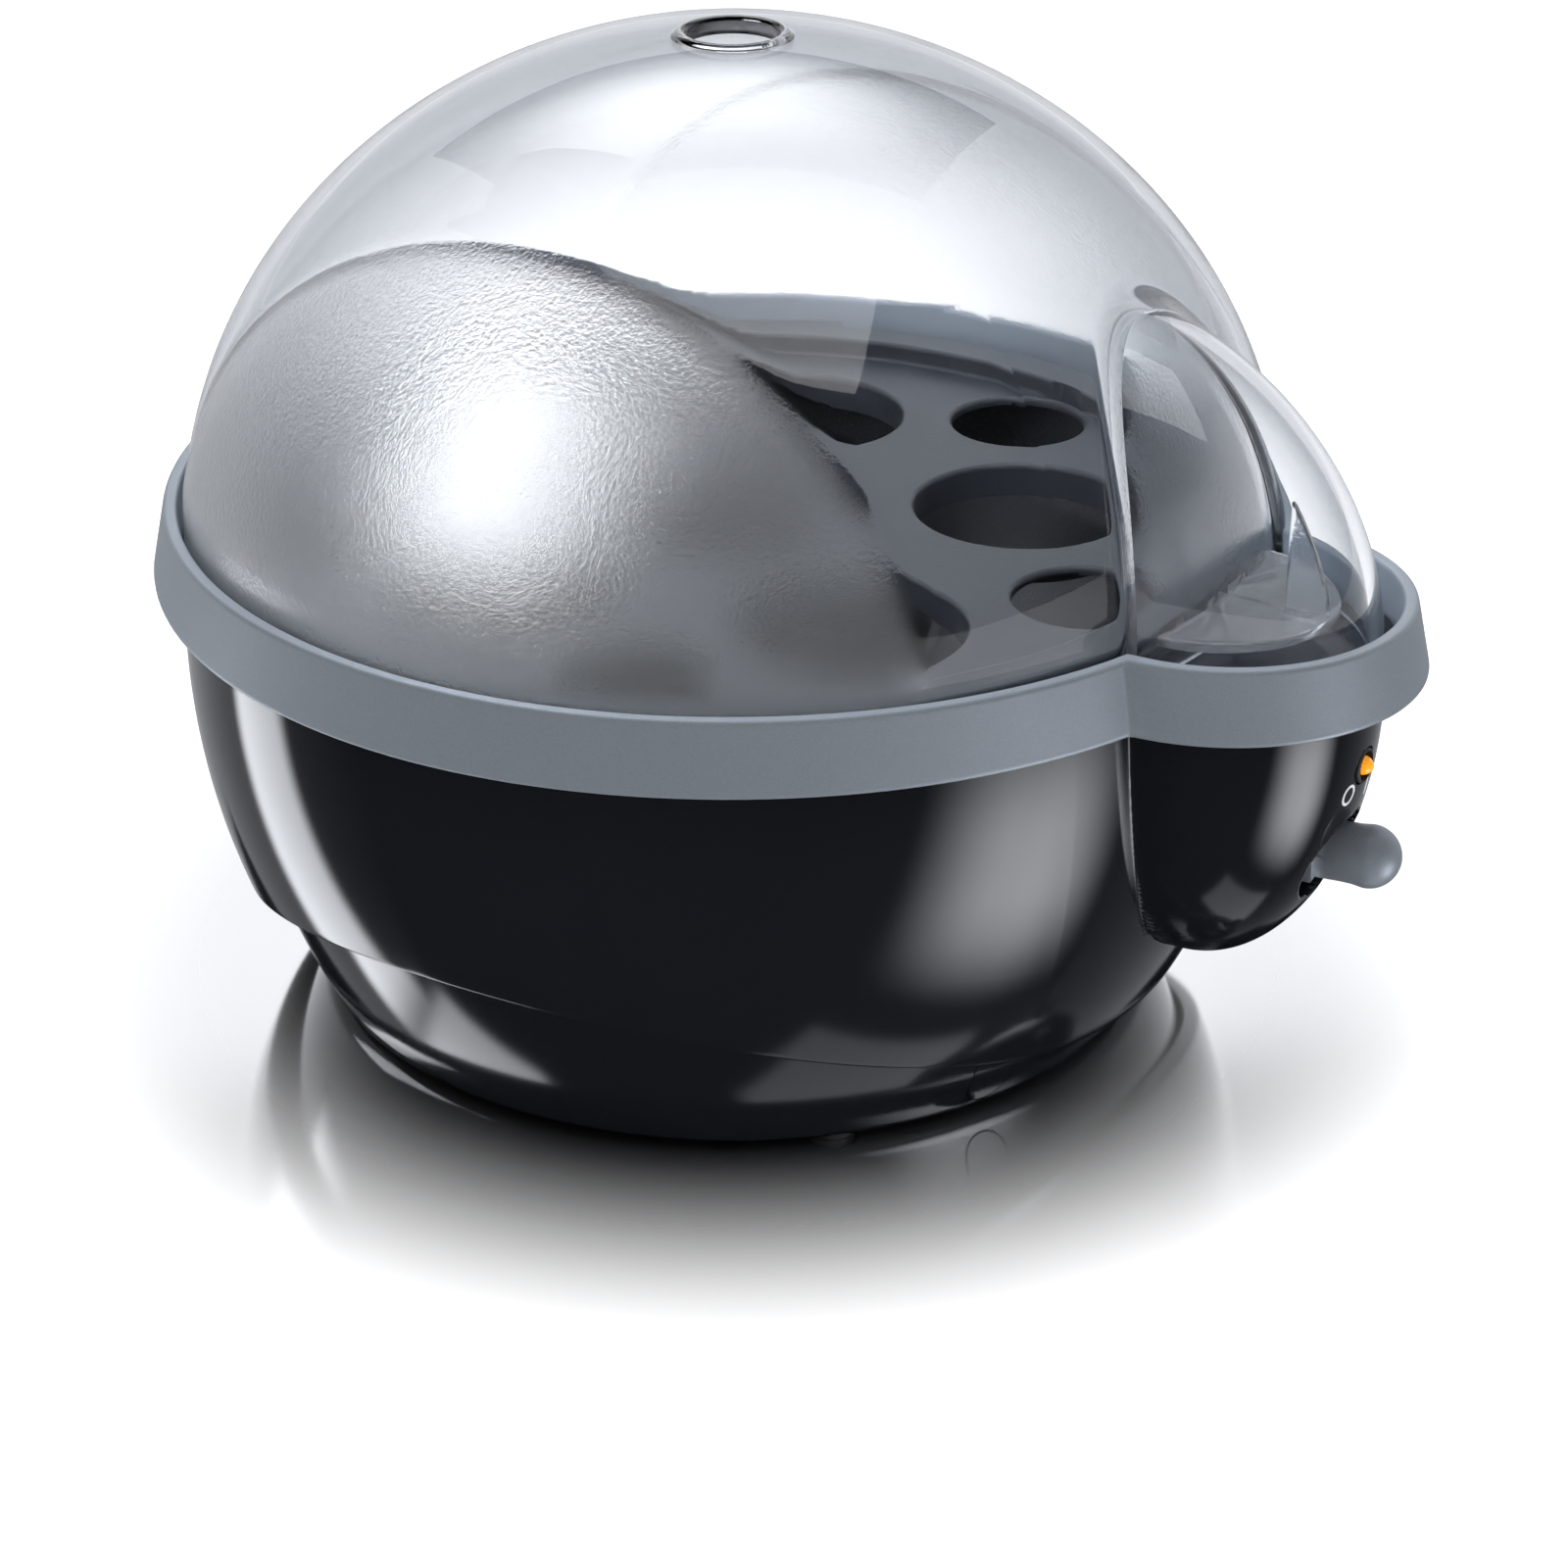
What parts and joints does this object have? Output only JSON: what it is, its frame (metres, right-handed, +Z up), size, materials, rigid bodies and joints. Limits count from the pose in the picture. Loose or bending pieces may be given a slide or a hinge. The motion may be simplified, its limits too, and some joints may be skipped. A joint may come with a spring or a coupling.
{
  "type": "egg cooker",
  "caption": "Electric egg cooker: round gloss housing with a switch nose, trim ring, water bowl, seated egg tray and a clear domed lid with a hood.",
  "frame": {"origin": "on the bowl's axis, on the surface the cooker stands on, at the flat face of the cord hub", "axes": "+Z up along the bowl's axis; the nose with the switch and lamp points along -Y"},
  "size_m": [0.1798, 0.2037, 0.1509],
  "materials": {
    "gloss_black": "polished black moulding",
    "matt_black": "matt black",
    "trim_grey": "satin metallic grey paint",
    "clear_lid": "clear plastic with frosted grips",
    "tray_grey": "satin dark grey",
    "bowl_coat": "dark non-stick coat",
    "rubber": "black rubber",
    "steel": "plated steel",
    "aluminium": "mill finish sheet",
    "brass": "turned brass",
    "copper": "enamelled copper winding",
    "switch_plastic": "dark moulding",
    "white_plastic": "off-white insulating moulding",
    "amber_lens": "clear amber",
    "lamp_glass": "clear glass",
    "lead_brown": "brown insulation",
    "lead_blue": "blue insulation"
  },
  "bodies": {
    "cooker": {"base_cover": "gloss_black", "cord_hub": "gloss_black", "cord_outlet_plug": "gloss_black", "cord_gland": "rubber", "foot_1": "rubber", "foot_2": "rubber", "foot_3": "rubber", "foot_4": "rubber", "base_screw_1": "steel", "base_screw_2": "steel", "base_screw_3": "steel", "hub_screw_1": "steel", "hub_screw_2": "steel", "housing": "gloss_black", "trim_ring": "trim_grey", "deck": "gloss_black", "heating_bowl": "bowl_coat", "bowl_gasket": "rubber", "heating_element": "steel", "heat_shield": "aluminium", "bowl_strap": "steel", "clamp_nut": "steel", "thermostat": "switch_plastic", "thermostat_clip": "steel", "thermal_fuse": "white_plastic", "terminal_block": "white_plastic", "terminal_screw_1": "brass", "terminal_screw_2": "brass", "terminal_screw_3": "brass", "buzzer_core": "steel", "buzzer_coil": "copper", "buzzer_tongue": "steel", "switch_body": "switch_plastic", "lever_pin": "steel", "switch_screw_1": "steel", "switch_screw_2": "steel", "lamp_lens": "amber_lens", "lamp_sleeve": "matt_black", "neon_lamp": "lamp_glass", "lead_live": "lead_brown", "lead_switched": "lead_brown", "lead_element": "lead_brown", "lead_fuse": "lead_blue", "lead_neutral": "lead_blue", "lead_lamp": "lead_blue"},
    "lid": {"lid": "clear_lid"},
    "tray": {"egg_tray": "tray_grey"},
    "lever": {"switch_lever": "trim_grey", "lever_shutter": "matt_black"},
    "slider": {"switch_slider": "white_plastic"}
  },
  "joints": [
    {"name": "lid_lift", "type": "slide", "parent": "cooker", "child": "lid", "axis": [0, 0, 1], "range_m": [0, 0.16]},
    {"name": "tray_lift", "type": "slide", "parent": "cooker", "child": "tray", "axis": [0, 0, 1], "range_m": [0, 0.08]},
    {"name": "switch_throw", "type": "hinge", "parent": "cooker", "child": "lever", "pos_m": [0, -0.085, 0.0428], "axis": [0, 0, -1], "range_deg": [0, 14]},
    {"name": "slider_travel", "type": "slide", "parent": "cooker", "child": "slider", "axis": [1, 0, 0], "range_m": [0, 0.0022]}
  ],
  "couplings": [
    {"joint": "tray_lift", "follows": "lid_lift", "ratio": 0.5},
    {"joint": "slider_travel", "follows": "switch_throw", "m_per_rad": 0.0089776}
  ]
}
